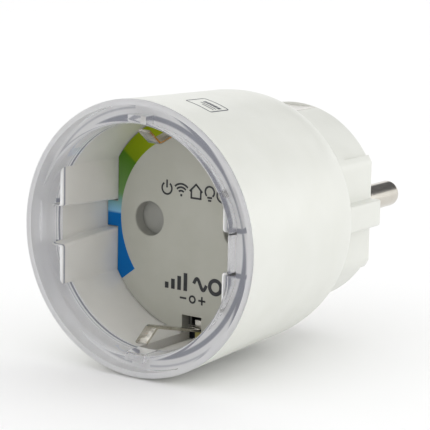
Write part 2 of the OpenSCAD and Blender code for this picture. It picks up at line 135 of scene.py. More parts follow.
def cloudOf(material, sizeMm, detail, colour, tint):
    # colour that drifts to tint in blotches about sizeMm across
    share = variedOf(material, sizeMm, detail, 0, 1)
    return addNode(material, "ShaderNodeMix", {"data_type": "RGBA"},
                   {0: share, 6: hexColour(colour), 7: hexColour(tint)}, 2)


def reliefOf(material, sizeMm, depthMm, detail=2, stretch=(1, 1, 1), strength=1.0, under=None):
    # a surface raised by depthMm in blotches about sizeMm across, on top of another relief
    inputs = {"Height": blotchesOf(material, sizeMm, detail, stretch), "Distance": depthMm * mm,
              "Strength": strength}
    if under is not None:
        inputs["Normal"] = under
    return addNode(material, "ShaderNodeBump", None, inputs)


def bandOf(material, value, low, high, soft=0.12):
    # 1 between low and high (mm), with soft edges, else 0
    rise = addNode(material, "ShaderNodeMapRange", None,
                   {0: value, 1: (low - soft) * mm, 2: (low + soft) * mm, 3: 0, 4: 1})
    fall = addNode(material, "ShaderNodeMapRange", None,
                   {0: value, 1: (high - soft) * mm, 2: (high + soft) * mm, 3: 1, 4: 0})
    return addNode(material, "ShaderNodeMath", {"operation": "MULTIPLY"}, {0: rise, 1: fall})


def placeOf(material):
    # the point's own X, Y and Z, and its distance from the Y axis
    where = addNode(material, "ShaderNodeTexCoord", output="Object")
    part = addNode(material, "ShaderNodeSeparateXYZ", None, {0: where}).node.outputs
    flat = addNode(material, "ShaderNodeCombineXYZ", None, {"X": part["X"], "Z": part["Z"]})
    radius = addNode(material, "ShaderNodeVectorMath", {"operation": "LENGTH"}, {0: flat}, "Value")
    return part, radius


def mouldedPlastic(name, colour, tint, rough, grain=0.22, depth=0.006):
    # spark eroded mould texture: the eye sees a soft, slightly broken highlight, and a faint
    # cloudiness in the colour; the grain is drawn coarser than it is, so that it shows
    material, shader = newFinish(name, IOR=1.54)
    join(material, shader,
         Base_Color=cloudOf(material, 9, 3, colour, tint),
         Roughness=variedOf(material, 3.5, 4, rough - 0.05, rough + 0.06),
         Normal=reliefOf(material, grain, depth))
    return material


def platedMetal(name, colour, shade, rough, grain=0.12, stretch=(1, 1, 1), depth=0.004,
                ripple=0.0):
    # plated or rolled metal: clear reflections, slightly milky patches, and fine lines along the
    # rolling direction, drawn coarser than they are; ripple is the shallow wave of a stamped strip;
    # a shade much darker than the colour makes the milky patches into painted dark reflections
    material, shader = newFinish(name, Metallic=1.0)
    wave = reliefOf(material, 0.7, ripple) if ripple else None
    join(material, shader,
         Base_Color=cloudOf(material, 1.6, 4, colour, shade),
         Roughness=variedOf(material, grain, 3, rough - 0.05, rough + 0.09, stretch),
         Normal=reliefOf(material, grain, depth, 3, stretch, under=wave))
    return material


def clearPlastic(name, clarity, colour, tint, ior, rough=0.015, coat=0.0):
    # moulded polycarbonate from a polished mould: glassy, with slight flow waves; clarity is the
    # share of light that goes straight through, and the rest is the milky body of the plastic
    material, shader = newFinish(name, IOR=ior, Transmission_Weight=clarity, Coat_Weight=coat)
    join(material, shader,
         Base_Color=cloudOf(material, 7, 2, colour, tint),
         Roughness=variedOf(material, 0.6, 3, rough, rough + 0.035),
         Normal=reliefOf(material, 4, 0.01, detail=1, strength=0.6))
    return material


def gridFaces(rows, cols, closeRows, closeCols):
    # quads between neighbouring grid points; a closed direction joins its last line to its first
    i = np.arange(rows if closeRows else rows - 1)[:, None]
    j = np.arange(cols if closeCols else cols - 1)[None, :]
    a, b = (i + 1) % rows, (j + 1) % cols
    corners = [i * cols + j, a * cols + j, a * cols + b, i * cols + b]
    return np.stack(corners, -1).reshape(-1, 4)


def tidyMesh(mesh, mergeMm, sharp):
    # one point at each pole and seam, normals outward, and sharp edges from an angle in degrees
    b = bmesh.new()
    b.from_mesh(mesh)
    bmesh.ops.remove_doubles(b, verts=b.verts, dist=mergeMm * mm)
    bmesh.ops.dissolve_degenerate(b, edges=b.edges, dist=mergeMm * mm)
    bmesh.ops.recalc_face_normals(b, faces=b.faces)
    if b.calc_volume(signed=True) < 0:
        bmesh.ops.reverse_faces(b, faces=b.faces)
    b.to_mesh(mesh)
    b.free()
    mesh.shade_smooth()
    mesh.set_sharp_from_angle(angle=math.radians(sharp))


def meshFrom(name, grids, mergeMm=0.001, sharp=32):
    # grids: (points [rows, cols, 3] in mm, close rows, close cols)
    points, faces, count = [], [], 0
    for grid, closeRows, closeCols in grids:
        rows, cols = grid.shape[:2]
        faces.append(gridFaces(rows, cols, closeRows, closeCols) + count)
        points.append(grid.reshape(-1, 3))
        count += rows * cols
    mesh = bpy.data.meshes.new(name)
    mesh.from_pydata((np.concatenate(points) * mm).tolist(), [], np.concatenate(faces).tolist())
    tidyMesh(mesh, mergeMm, sharp)
    piece = bpy.data.objects.new(name, mesh)
    bpy.context.scene.collection.objects.link(piece)
    return piece


def cutHoles(piece, cutterGrids, sharp):
    # takes the cutters' space out of the piece, and leaves a plain mesh
    cutter = meshFrom("cutter", cutterGrids)
    cut = piece.modifiers.new("holes", "BOOLEAN")
    cut.object, cut.solver = cutter, "EXACT"
    bpy.context.view_layer.update()
    graph = bpy.context.evaluated_depsgraph_get()
    made = bpy.data.meshes.new_from_object(piece.evaluated_get(graph))
    piece.modifiers.remove(cut)
    piece.data = made
    bpy.data.objects.remove(cutter)
    made.shade_smooth()
    made.set_sharp_from_angle(angle=math.radians(sharp))


def rounded(corners, steps, closed=True):
    # a polygon whose corners (x, y, radius) are arcs tangent to both sides
    c = np.array([(*p, 0)[:3] for p in corners], float)
    before, after = np.roll(c[:, :2], 1, 0), np.roll(c[:, :2], -1, 0)
    out = []
    for k in range(len(c)):
        p, r = c[k, :2], c[k, 2]
        if r == 0 or (not closed and k in (0, len(c) - 1)):
            out.append(p[None])
            continue
        u, v = before[k] - p, after[k] - p
        u, v = u / np.linalg.norm(u), v / np.linalg.norm(v)
        half = math.acos(np.clip(u @ v, -1, 1)) / 2
        reach = r / math.tan(half)
        middle = p + (u + v) / np.linalg.norm(u + v) * r / math.sin(half)
        a, b = p + u * reach - middle, p + v * reach - middle
        s = np.linspace(0, 1, steps + 1)[:, None]
        arc = a * (1 - s) + b * s
        out.append(middle + arc / np.linalg.norm(arc, axis=1, keepdims=True) * r)
    return np.concatenate(out)


def lathe(profile, count, centre=(0, 0)):
    # each [radius, y] point of the profile goes round the Y axis through centre (x, z)
    profile = np.asarray(profile, float)
    turn = np.linspace(0, 2 * np.pi, count, endpoint=False)
    r, y = profile[:, 0][:, None], profile[:, 1][:, None]
    return np.stack([centre[0] + r * np.cos(turn), y + 0 * turn, centre[1] + r * np.sin(turn)], -1)


def latheX(profile, count, centre):
    # each [radius, x] point of the profile goes round the X axis through centre (y, z)
    profile = np.asarray(profile, float)
    turn = np.linspace(0, 2 * np.pi, count, endpoint=False)
    r, x = profile[:, 0][:, None], profile[:, 1][:, None]
    return np.stack([x + 0 * turn, centre[0] + r * np.cos(turn), centre[1] + r * np.sin(turn)], -1)


def holeCutter(r, x, z, flare=0.2):
    # a round bar along Y that widens at the end face, y = 0, so the hole gets a rounded mouth
    deep, past = 6, 2  # behind the end face and in front of it
    turn = np.radians(np.linspace(0, 90, 5))
    mouth = np.stack([r + flare * (1 - np.cos(turn)), -flare * (1 - np.sin(turn))], -1)
    profile = np.concatenate([[[0, -deep], [r, -deep]], mouth, [[r + flare, past], [0, past]]])
    return (lathe(profile, 96, (x, z)), False, True)


def blockGrid(x0, x1, y0, y1, z0, z1):
    # a box as a four sided tube with its two ends drawn together
    sides = np.array([[x0, z0], [x1, z0], [x1, z1], [x0, z1]], float)
    middle = sides.mean(0) + 0 * sides
    return (stacked([(middle, y0), (sides, y0), (sides, y1), (middle, y1)]), False, True)


def stacked(rows):
    # outlines in XZ, each at its station (or stations) along Y
    shapes = np.stack([shape for shape, y in rows])
    y = np.stack([np.broadcast_to(y, len(shape)) for shape, y in rows])
    return np.stack([shapes[..., 0], y, shapes[..., 1]], -1)


def boxMm(node):
    low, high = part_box(node)
    return np.array(low) / mm, np.array(high) / mm


def place(piece, body, nodes, material):
    piece.data.materials.clear()
    piece.data.materials.append(material)
    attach(piece, body)
    if nodes:
        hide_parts(*nodes)


# stations and radii that several pieces share, from the CAD boxes
ringLow, ringHigh = boxMm("light_ring")
rimY, rimR, backY = ringLow[1], ringHigh[0], ringHigh[1]
floorY = boxMm("socket_floor")[0][1]
foilY = boxMm("floor_foil")[0][1]
ribX, flangeR = boxMm("plug_base")[1][[0, 2]]
buttonLow, buttonHigh = boxMm("button_cap")
buttonY = (buttonLow[1] + buttonHigh[1]) / 2

# the well's outline, which the ring, the reflector and the liner share
well = {
    "r": flangeR + 0.7, "channelX": 19.0, "blockX": 16.7, "blockBack": 2.0,
    "halfMouth": 3.4, "halfFloor": 2.5, "cornerR": 0.45, "slotHalf": 1.9, "slotTop": 21.0,
    "meetBelow": 0.35, "meetAbove": 0.45, "meetR": 0.5,  # where a block face meets the round wall
}
ring = {
    "outRound": 1.1, "inRound": 0.8, "lipWidth": 1.05, "lipDepth": 1.15, "depth": 5.0,
    "slotStart": 1.4, "backGap": 0.03, "edge": 0.1, "step": 0.001,
}


def wellOutline(half):
    # one quarter of the well, from +X to +Z: channel floor, channel side, block face, round wall;
    # the corners are rounded, and the slot's edge gets two points of its own
    x, blockX, corner = well["channelX"], well["blockX"], well["cornerR"]
    blockTop = math.sqrt(well["r"] ** 2 - blockX ** 2)
    channel = rounded([(x, -half, 0), (x, half, corner), (blockX, half, corner),
                       (blockX, blockTop + 2, 0)], 5, closed=False)[1:-1]
    start = np.stack([np.full(5, x), np.linspace(0, channel[0, 1], 6)[:-1]], -1)
    side = np.linspace(channel[-1, 1], blockTop - well["meetBelow"], 10)[1:]
    face = np.stack([np.full(len(side), blockX), side], -1)
    arcZ = blockTop + well["meetAbove"]
    first = math.atan2(arcZ, math.sqrt(well["r"] ** 2 - arcZ ** 2))
    slot = math.acos(well["slotHalf"] / well["r"])
    edge = 1e-4  # radians to each side of the slot's edge
    turn = np.concatenate([np.linspace(first, slot - edge, 26),
                           np.linspace(slot + edge, np.pi / 2, 7)])
    arc = np.stack([np.cos(turn), np.sin(turn)], -1) * well["r"]
    meet = rounded([(*face[-1], 0), (blockX, blockTop, well["meetR"]), (*arc[0], 0)],
                   4, closed=False)[1:-1]
    return np.concatenate([start, channel, face, meet, arc])


def fullOutline(q):
    # the quarter mirrored to the other three, without repeating the shared points
    return np.concatenate([q, (q * [-1, 1])[::-1][1:], (q * [-1, -1])[1:],
                           (q * [1, -1])[::-1][1:-1]])


def atRadius(shape, r):
    # the outline's points moved to radius r, each at its own angle
    turn = np.arctan2(shape[:, 1], shape[:, 0])
    return np.stack([r * np.cos(turn), r * np.sin(turn)], -1)


def plainWell(shape, grow):
    # the well without its blocks, on the same columns: round, with the two flat channel floors
    turn = np.arctan2(shape[:, 1], shape[:, 0])
    flatR = well["channelX"] / np.maximum(np.abs(np.cos(turn)), 1e-6)
    return atRadius(shape, np.minimum(well["r"], flatR) + grow)


def grownWell(shape, grow):
    # the blocks set back by grow, but never behind the plain wall
    plainR = np.hypot(*plainWell(shape, 0).T)
    return atRadius(shape, np.minimum(np.hypot(*shape.T) + grow, plainR))


def slotted(shape):
    # the columns between the slot's edges move out to its flat bottom
    inside = np.abs(shape[:, 0]) < well["slotHalf"]
    out = shape.copy()
    out[inside, 1] = np.sign(shape[inside, 1]) * well["slotTop"]
    return out


def channelLine(y):
    # the outline at a station: the guide channels narrow evenly from mouth to floor
    start = rimY + well["blockBack"]
    share = np.clip((y - start) / (floorY - start), 0, 1)
    return fullOutline(wellOutline(
        well["halfMouth"] + (well["halfFloor"] - well["halfMouth"]) * share))


def ringRows(d):
    # front fillet, down the plain well, across the back, up to the step that the housing's lip
    # fits in, and round the outer front edge; both edges are quarter circles
    mouth = channelLine(rimY)
    rows = []
    for a in np.radians(np.linspace(90, 0, 8)):
        rows.append((plainWell(mouth, d["inRound"] * (1 - math.cos(a))),
                     rimY + d["inRound"] * (1 - math.sin(a))))
    slotY, backEnd = rimY + d["slotStart"], rimY + d["depth"] - d["backGap"]
    wall = plainWell(mouth, 0)
    rows += [(wall, slotY - d["step"]), (slotted(wall), slotY), (slotted(wall), backEnd)]
    lipR, lipY = rimR - d["lipWidth"], rimY + d["lipDepth"]
    path = ((lipR - d["edge"], backEnd), (lipR, backEnd - d["edge"]), (lipR, lipY), (rimR, lipY))
    rows += [(atRadius(mouth, r), y) for r, y in path]
    for a in np.radians(np.linspace(0, 90, 9)):
        rows.append((atRadius(mouth, rimR - d["outRound"] * (1 - math.cos(a))),
                     rimY + d["outRound"] * (1 - math.sin(a))))
    return rows


# the reflector's thin section, and its painted shade: the radii of the groove and seam bands, the
# bars beside the channels, and the painted shade's colour
reflector = {
    "half": 0.03, "front": 0.05, "rear": 0.01, "wellGap": 0.02,
    "grooveIn": 20.25, "grooveOut": 21.0, "seamIn": 21.8, "seamOut": 22.1, "seamShade": 0.55,
    "ribOut": 22.4, "ribInner": -0.1, "ribOuter": 0.75, "white": "#FEFEFE", "shade": "#9C9EAA",
}


def reflectorRows(d):
    # a thin Z section moulded against the back, the side and the step of the clear ring, without
    # an air gap
    mouth = channelLine(rimY)
    back, step, side = rimY + ring["depth"], rimY + ring["lipDepth"], rimR - ring["lipWidth"]
    front, rear, half = back - d["front"], back - d["rear"], d["half"]
    inner = slotted(plainWell(mouth, d["wellGap"]))
    path = ((side - half, front), (side - half, step - half), (rimR - half, step - half),
            (rimR - half, step + half), (side + half, step + half), (side + half, rear))
    return [(inner, front)] + [(atRadius(mouth, r), y) for r, y in path] + [(inner, rear)]


def reflectorFinish(d):
    # white reflector behind the ring, with violet grey bands of painted shade: one where the groove
    # for the light lies, a weaker one at a seam further out, and bars beside the channels, which
    # the ring shows as violet grey bands
    material, shader = newFinish("mouldedReflectorWhite", IOR=1.5, Roughness=0.6)
    part, radius = placeOf(material)
    # painted shade in rings round the axis: the groove's band and a weaker seam band, which break
    # off at the slot
    deep = bandOf(material, radius, d["grooveIn"], d["grooveOut"])
    seam = bandOf(material, radius, d["seamIn"], d["seamOut"])
    paintedShadeBands = addNode(material, "ShaderNodeMath", {"operation": "MULTIPLY_ADD"},
                     {0: seam, 1: d["seamShade"], 2: deep})
    side = addNode(material, "ShaderNodeMath", {"operation": "ABSOLUTE"}, {0: part["X"]})
    awayFromSlot = addNode(material, "ShaderNodeMath", {"operation": "GREATER_THAN"},
                           {0: side, 1: well["slotHalf"] * mm})
    broken = addNode(material, "ShaderNodeMath", {"operation": "MULTIPLY"},
                     {0: paintedShadeBands, 1: awayFromSlot})
    # painted shadow in bars beside the channels' mouths, out to ribOut
    height = addNode(material, "ShaderNodeMath", {"operation": "ABSOLUTE"}, {0: part["Z"]})
    half = well["halfMouth"]
    beside = bandOf(material, height, half + d["ribInner"], half + d["ribOuter"])
    inside = addNode(material, "ShaderNodeMath", {"operation": "LESS_THAN"},
                     {0: radius, 1: d["ribOut"] * mm})
    rib = addNode(material, "ShaderNodeMath", {"operation": "MULTIPLY"}, {0: beside, 1: inside})
    shade = addNode(material, "ShaderNodeMath", {"operation": "MAXIMUM"}, {0: broken, 1: rib})
    colour = addNode(material, "ShaderNodeMix", {"data_type": "RGBA"},
                     {0: shade, 6: hexColour(d["white"]), 7: hexColour(d["shade"])}, 2)
    join(material, shader, Base_Color=colour, Normal=reliefOf(material, 0.2, 0.004))
    return material


# the liner's shape; "front" is the white of the painted highlight on each block's front edge and
# "shade" the violet grey of the painted shade behind it
liner = {
    "outR": 21.2, "pocketX": 18.1, "pocketLow": 4.8, "pocketHigh": 9.2, "blockRound": 0.55,
    "behind": 0.04, "step": 0.01, "backEdge": 0.05, "outStart": 0.5,
    "front": "#FFFFFF", "paintedHighlightBand": (-0.2, 0.25), "shade": "#9EA0B0", "shadeBand": (0.4, 0.75),
}


def pocketed(shape, d):
    # the outside of the liner, set in behind each guide block
    out = atRadius(shape, d["outR"])
    turn = np.arctan2(np.abs(shape[:, 1]), np.abs(shape[:, 0]))
    low = math.atan2(d["pocketLow"], d["pocketX"])
    high = math.atan2(d["pocketHigh"], d["pocketX"])
    inside = (turn > low) & (turn < high)
    out[inside] *= (d["pocketX"] / np.abs(out[inside, 0]))[:, None]
    return out


def linerRows(d):
    # the rounded fronts of the blocks, which reach forward inside the ring, then down the well,
    # round the back edge, and up the outside over the pockets; columns without a block start
    # behind the ring
    mouth = channelLine(rimY)
    plain = plainWell(mouth, 0)
    behind = rimY + ring["depth"] - d["behind"]
    blockY = rimY + well["blockBack"]
    isBlock = np.hypot(*plain.T) - np.hypot(*mouth.T) > d["behind"]
    rows = [(plain, behind)]
    for a in np.radians(np.linspace(90, 0, 7)):
        shape = grownWell(mouth, d["blockRound"] * (1 - math.cos(a)))
        rows.append((np.where(isBlock[:, None], shape, plain),
                     np.where(isBlock, blockY + d["blockRound"] * (1 - math.sin(a)), behind)))
    start = channelLine(behind)
    step, backEdge, outY = d["step"], backY - d["backEdge"], behind + d["outStart"]
    inY = np.linspace(behind + 2 * step, backEdge, 8)
    pocketY = np.linspace(backEdge - d["backEdge"], outY + 2 * step, 6)
    rows.append((start, behind + step))
    rows += [(slotted(channelLine(y)), y) for y in inY]
    rows.append((pocketed(channelLine(backY), d), backEdge))
    rows += [(pocketed(channelLine(y), d), y) for y in pocketY]
    rows += [(atRadius(start, d["outR"]), y) for y in (outY, behind)]
    return rows


def linerFinish(d):
    # milky polycarbonate, in which light spreads softly; along the clear front edge of each guide
    # block, a white line of painted highlight with a violet grey band of painted shade behind it
    material = clearPlastic("translucentPolycarbonate", 0.2, "#FBFAF6", "#F5F4F0", 1.45,
                            rough=0.28, coat=0.35)
    shader = material.node_tree.nodes["Principled BSDF"]
    body = shader.inputs["Base Color"].links[0].from_socket
    along = placeOf(material)[0]["Y"]
    start = rimY + well["blockBack"]
    # a band of painted shade behind each block's front edge, and a line of painted highlight on it
    shadeBand = bandOf(material, along, *np.add(start, d["shadeBand"]))
    paintedHighlightBand = bandOf(material, along, *np.add(start, d["paintedHighlightBand"]), soft=0.1)
    shaded = addNode(material, "ShaderNodeMix", {"data_type": "RGBA"},
                     {0: shadeBand, 6: body, 7: hexColour(d["shade"])}, 2)
    colour = addNode(material, "ShaderNodeMix", {"data_type": "RGBA"},
                     {0: paintedHighlightBand, 6: shaded, 7: hexColour(d["front"])}, 2)
    join(material, shader, Base_Color=colour)
    return material


clear = clearPlastic("clearPolycarbonate", 0.97, "#FFFFFF", "#FCFCFF", 1.47)
milky = linerFinish(liner)
fineMerge = 0.0005
reflectorGrid = stacked(reflectorRows(reflector))
reflectorRing = meshFrom("reflectorRing", [(reflectorGrid, True, True)], fineMerge)
place(reflectorRing, "plug_body", ["light_ring"], reflectorFinish(reflector))
lightRing = meshFrom("lightRing", [(stacked(ringRows(ring)), True, True)], fineMerge, sharp=28)
place(lightRing, "plug_body", ["light_ring"], clear)
wellLiner = meshFrom("wellLiner", [(stacked(linerRows(liner)), True, True)], fineMerge, sharp=28)
place(wellLiner, "plug_body", ["light_ring"], milky)
print("clear ring and liner", len(lightRing.data.polygons), len(wellLiner.data.polygons), "faces")

shell = {
    "wall": 1.6, "taper": 1.1, "shoulderLen": 9.0, "shoulderY": -22.0, "shoulderR": flangeR + 0.7,
    "openR": flangeR - 0.8, "neckGap": 0.6, "flangeY": -13.0, "frontY": 1.16, "seatY": 5.05,
    "lipIn": 0.95, "lipRounds": (0.05, 0.04), "rearRound": 0.25, "sleeveR": 21.26, "sleeveY": -30.2,
    "buttonR": 2.75, "buttonMouth": ((0.3, -0.05), (0.1, 0.12), (0, 0.35)),  # wider by, at depth
    "buttonHole": (-30, -18),
}
whiteAbs = mouldedPlastic("mouldedAbsWhite", "#DDDED8", "#D9DAD3", rough=0.36)


def bodyR(y):
    # the housing's outside radius, which falls evenly from the rim to the shoulder
    return rimR - shell["taper"] * (y - rimY) / (shell["shoulderY"] - rimY)


def housingProfile(d):
    # closed section of the shell: front lip, tapered outside, elliptical shoulder, rear edge, the
    # inside, and a white sleeve close behind the liner that throws the light back through it
    front, seat = rimY + d["frontY"], rimY + d["seatY"]
    lipIn, neckR = rimR - d["lipIn"], rimR - d["taper"]
    turn = np.radians(np.linspace(4, 86, 15))
    shoulder = np.stack([d["shoulderR"] + (neckR - d["shoulderR"]) * np.cos(turn),
                         d["shoulderY"] + d["shoulderLen"] * np.sin(turn)], -1)
    insideR = d["openR"] + d["neckGap"]
    inside = np.stack([insideR + (neckR - d["wall"] - insideR) * np.cos(turn),
                       d["shoulderY"] + (d["shoulderLen"] - d["wall"]) * np.sin(turn)], -1)[::-1]
    taperY = np.linspace(front + 2, d["shoulderY"], 12)
    taper = np.stack([bodyR(taperY), taperY], -1)
    inRound, outRound = d["lipRounds"]
    lip = rounded([(lipIn, front + 1, 0), (lipIn, front, inRound), (bodyR(front), front, outRound),
                   (bodyR(front + 2), front + 2, 0)], 4, closed=False)[1:-1]
    rear = rounded([(*shoulder[-1], 0), (d["shoulderR"], d["flangeY"], d["rearRound"]),
                    (d["openR"], d["flangeY"], 0), (d["openR"], d["flangeY"] - d["wall"], 0)],
                   5, closed=False)[1:]
    sleeve = np.array([[bodyR(d["sleeveY"]) - d["wall"], d["sleeveY"]],
                       [d["sleeveR"], d["sleeveY"]], [d["sleeveR"], seat], [lipIn, seat]])
    return np.concatenate([lip, taper, shoulder, rear, inside, sleeve])


def buttonHole(d):
    # a round bar along X from outside the left wall to inside it, wider at the mouth
    surface, r, (outer, inner) = -bodyR(buttonY), d["buttonR"], d["buttonHole"]
    mouth = [[r + wider, surface + depth] for wider, depth in d["buttonMouth"]]
    profile = [[0, outer], [mouth[0][0], outer], *mouth, [r, inner], [0, inner]]
    return (latheX(profile, 64, (buttonY, 0)), False, True)


housing = meshFrom("housingShell", [(lathe(housingProfile(shell), 256), True, True)], sharp=30)
cutHoles(housing, [buttonHole(shell)], 30)
place(housing, "plug_body", ["housing"], whiteAbs)
print("housing", len(housing.data.polygons), "faces")

plug = {
    "flatX": flangeR - 2.3, "ribHalf": 2.4, "ribCorner": 0.35, "ribFoot": 0.25, "wall": 1.7,
    "endT": 2.4, "flangeY": -13.0, "flangeEdge": 0.15, "spigotY": -15.0, "spigotR": flangeR - 0.9,
    "recess": 0.5, "recessLen": 8.4, "recessAngle": 57, "edge": 0.5, "step": 0.002,
    "rootR": 3.05, "rootFlare": 0.12, "earthR": 2.75, "earthZ": 10.0, "pinX": 9.5,
    "padHalf": 4.5, "padLow": 17.3, "padHigh": 22, "padEnd": 0.75,
}


def plugOutline(d, grow=0.0, ribs=True, recess=False):
    # a circle cut by two flats with a rib standing on each flat, on fixed columns; recess sets
    # the round parts at the top and bottom in
    flatX, r = d["flatX"] + grow, flangeR + grow
    ribOut, half = (ribX + grow, d["ribHalf"] + grow) if ribs else (flatX, d["ribHalf"])
    flatTop = math.sqrt(r ** 2 - flatX ** 2)
    if ribs:
        rib = rounded([(ribOut, -half, 0), (ribOut, half, d["ribCorner"]),
                       (flatX, half, d["ribFoot"]), (flatX, flatTop, 0)], 4, closed=False)[1:-1]
    else:  # as many points as a rib has
        rib = np.stack([np.full(10, flatX), np.linspace(half - 0.3, half + 0.3, 10)], -1)
    start = np.stack([np.full(5, ribOut), np.linspace(0, rib[0, 1], 6)[:-1]], -1)
    z = np.linspace(rib[-1, 1], flatTop, 10)[1:]
    face = np.stack([np.full(len(z), flatX), z], -1)
    first, recessAt = math.atan2(flatTop, flatX), math.radians(90 - d["recessAngle"])
    cut = 2e-4  # radians to each side of the recess's edge
    turn = np.concatenate([np.linspace(first, recessAt - cut, 3)[1:],
                           np.linspace(recessAt + cut, np.pi / 2, 26)])
    arcR = np.where((turn > recessAt) & recess, r - d["recess"], r)
    arc = np.stack([np.cos(turn), np.sin(turn)], -1) * arcR[:, None]
    return fullOutline(np.concatenate([start, rib, face, arc]))


def plugRows(d):
    # from the middle of the inner face out, down the cavity, round the spigot, along the flange,
    # and over the end face to its middle
    inner, outer = plugOutline(d, -d["wall"], ribs=False), plugOutline(d)
    spigot, edge = atRadius(outer, d["spigotR"]), d["flangeEdge"]
    rows = [(inner * 0, -d["endT"]), (inner * 0.5, -d["endT"]), (inner, -d["endT"]),
            (inner, d["spigotY"]), (spigot, d["spigotY"]), (spigot, d["flangeY"]),
            (plugOutline(d, -edge), d["flangeY"]), (outer, d["flangeY"] + edge),
            (outer, -d["recessLen"] - d["step"]), (plugOutline(d, recess=True), -d["recessLen"])]
    for a in np.radians(np.linspace(0, 90, 7)):
        rows.append((plugOutline(d, -d["edge"] * (1 - math.cos(a)), recess=True),
                     -d["edge"] * (1 - math.sin(a))))
    last = rows[-1][0]
    return rows + [(last * share, 0) for share in (0.7, 0.3, 0)]


def plugCutters(d):
    # the pin roots, the earth hole, and the pads at the top and bottom
    holes = [holeCutter(d["rootR"], side * d["pinX"], 0, d["rootFlare"]) for side in (1, -1)]
    holes.append(holeCutter(d["earthR"], 0, d["earthZ"]))
    for side in (1, -1):
        z0, z1 = sorted((side * d["padLow"], side * d["padHigh"]))
        holes.append(blockGrid(-d["padHalf"], d["padHalf"], -d["recessLen"], -d["padEnd"], z0, z1))
    return holes


plugEnd = meshFrom("plugEnd", [(stacked(plugRows(plug)), False, True)], mergeMm=0.02, sharp=30)
cutHoles(plugEnd, plugCutters(plug), 30)
place(plugEnd, "plug_body", ["plug_base"], whiteAbs)
print("plug end", len(plugEnd.data.polygons), "faces")

pin = {
    "r": 2.4, "rootR": 3.0, "rootY": 0.02, "collarR": 3.8, "collarBack": -4.0,
    "collarFront": -2.45, "collarRound": 0.15, "shank": 8, "tip": 1.6, "bluntness": 0.8,
    "length": 19.0, "back": -8.9, "backRound": 0.2, "rootRound": 0.12,
}
nickel = platedMetal("platedNickelPin", "#CFCBC2", "#C9C4BA", rough=0.2, grain=0.05,
                     stretch=(1, 0.15, 1), depth=0.002)


def pinProfile(d):
    # rear end, collar behind the end plate, root, shank, and a tip rounded like the end of an egg
    turn = np.radians(np.linspace(0, 88, 14))
    tip = np.stack([d["r"] * np.cos(turn) ** d["bluntness"],
                    d["length"] - d["tip"] + d["tip"] * np.sin(turn)], -1)
    rootR, collarR, collarY, edge = d["rootR"], d["collarR"], d["collarFront"], d["collarRound"]
    body = rounded([(0, d["back"], 0), (rootR, d["back"], d["backRound"]),
                    (rootR, d["collarBack"], 0), (collarR, d["collarBack"], edge),
                    (collarR, collarY, edge), (rootR, collarY + 0.05, 0),
                    (rootR, d["rootY"], d["rootRound"]), (d["r"], d["rootY"], 0),
                    (d["r"], d["shank"], 0)], 4, closed=False)
    return np.concatenate([body, tip, [[0, d["length"]]]])


for name, node, x in (("linePin", "line_pin", plug["pinX"]),
                      ("neutralPin", "neutral_pin", -plug["pinX"])):
    piece = meshFrom(name, [(lathe(pinProfile(pin), 96, (x, 0)), False, True)], sharp=35)
    place(piece, "plug_body", [node], nickel)
print("pins done")

clip = {
    "half": 1.2, "thick": 0.5, "edge": 0.12, "z": 19.0, "rootY": 1.1, "rollR": 0.45,
    "bendY": 0.2, "bendR": 0.8, "apexR": 15.6, "apexY": 5.9, "apexRound": 1.0,
    "tipR": 18.2, "tipY": 2.85,
}
# the dark second colour makes the plating's milky patches into painted dark reflections, the
# mottled look of the stamped clips
springNickel = platedMetal("platedSpringBronze", "#E2DFD6", "#ACA698", rough=0.16, grain=0.08,
                           stretch=(1, 0.2, 0.2), depth=0.002, ripple=0.08)


def sweptStrip(path, d):
    # a rounded rectangle carried along a path in the YZ plane; both ends are drawn together
    t = np.gradient(path, axis=0)
    t /= np.linalg.norm(t, axis=1, keepdims=True)
    normal = np.stack([-t[:, 1], t[:, 0]], -1)
    half, thick, edge = d["half"], d["thick"] / 2, d["edge"]
    section = rounded([(-half, -thick, edge), (half, -thick, edge), (half, thick, edge),
                       (-half, thick, edge)], 3)
    middle = path[:, None, :] + normal[:, None, :] * section[None, :, 1:2]
    across = np.broadcast_to(section[None, :, 0:1], (*middle.shape[:2], 1))
    grid = np.concatenate([across, middle], -1)
    ends = [np.broadcast_to(grid[k].mean(0), grid[k].shape)[None] for k in (0, -1)]
    return np.concatenate([ends[0], grid, ends[1]])


def denser(points, parts):
    # each straight piece of a path in equal parts
    pieces = [np.linspace(a, b, parts + 1)[:-1] for a, b in zip(points[:-1], points[1:])]
    return np.concatenate(pieces + [points[-1:]])


def clipPath(d, side):
    # root behind the floor, long slope to the bend, and the turned up tip
    half = d["thick"] / 2
    z = d["z"] - half
    points = rounded([(floorY + d["rootY"], z, 0), (floorY + d["bendY"], z, d["bendR"]),
                      (rimY + d["apexY"], d["apexR"] + half, d["apexRound"]),
                      (rimY + d["tipY"], d["tipR"], 0)], 8, closed=False)
    return denser(points, 4) * [1, side]


def clipRoll(d, side):
    # the rolled root, a round bar along X
    half, r = d["half"], d["rollR"]
    return latheX([[0, -half], [r, -half], [r, half], [0, half]], 32,
                  (floorY + d["rootY"], side * (d["z"] - d["thick"] / 2)))


for name, node, body, side in (("topClip", "earth_clip_top", "top_clip", 1),
                               ("bottomClip", "earth_clip_bottom", "bottom_clip", -1)):
    strip = sweptStrip(clipPath(clip, side), clip)
    piece = meshFrom(name, [(strip, False, True), (clipRoll(clip, side), False, True)], sharp=35)
    place(piece, body, [node], springNickel)
print("clips done")

button = {
    "r": 2.6, "flangeR": 3.3, "flangeT": 0.7, "flangeIn": 2.7, "stemR": 1.5, "dish": 0.12,
    "dishShare": 0.78, "edge": 0.45,
}


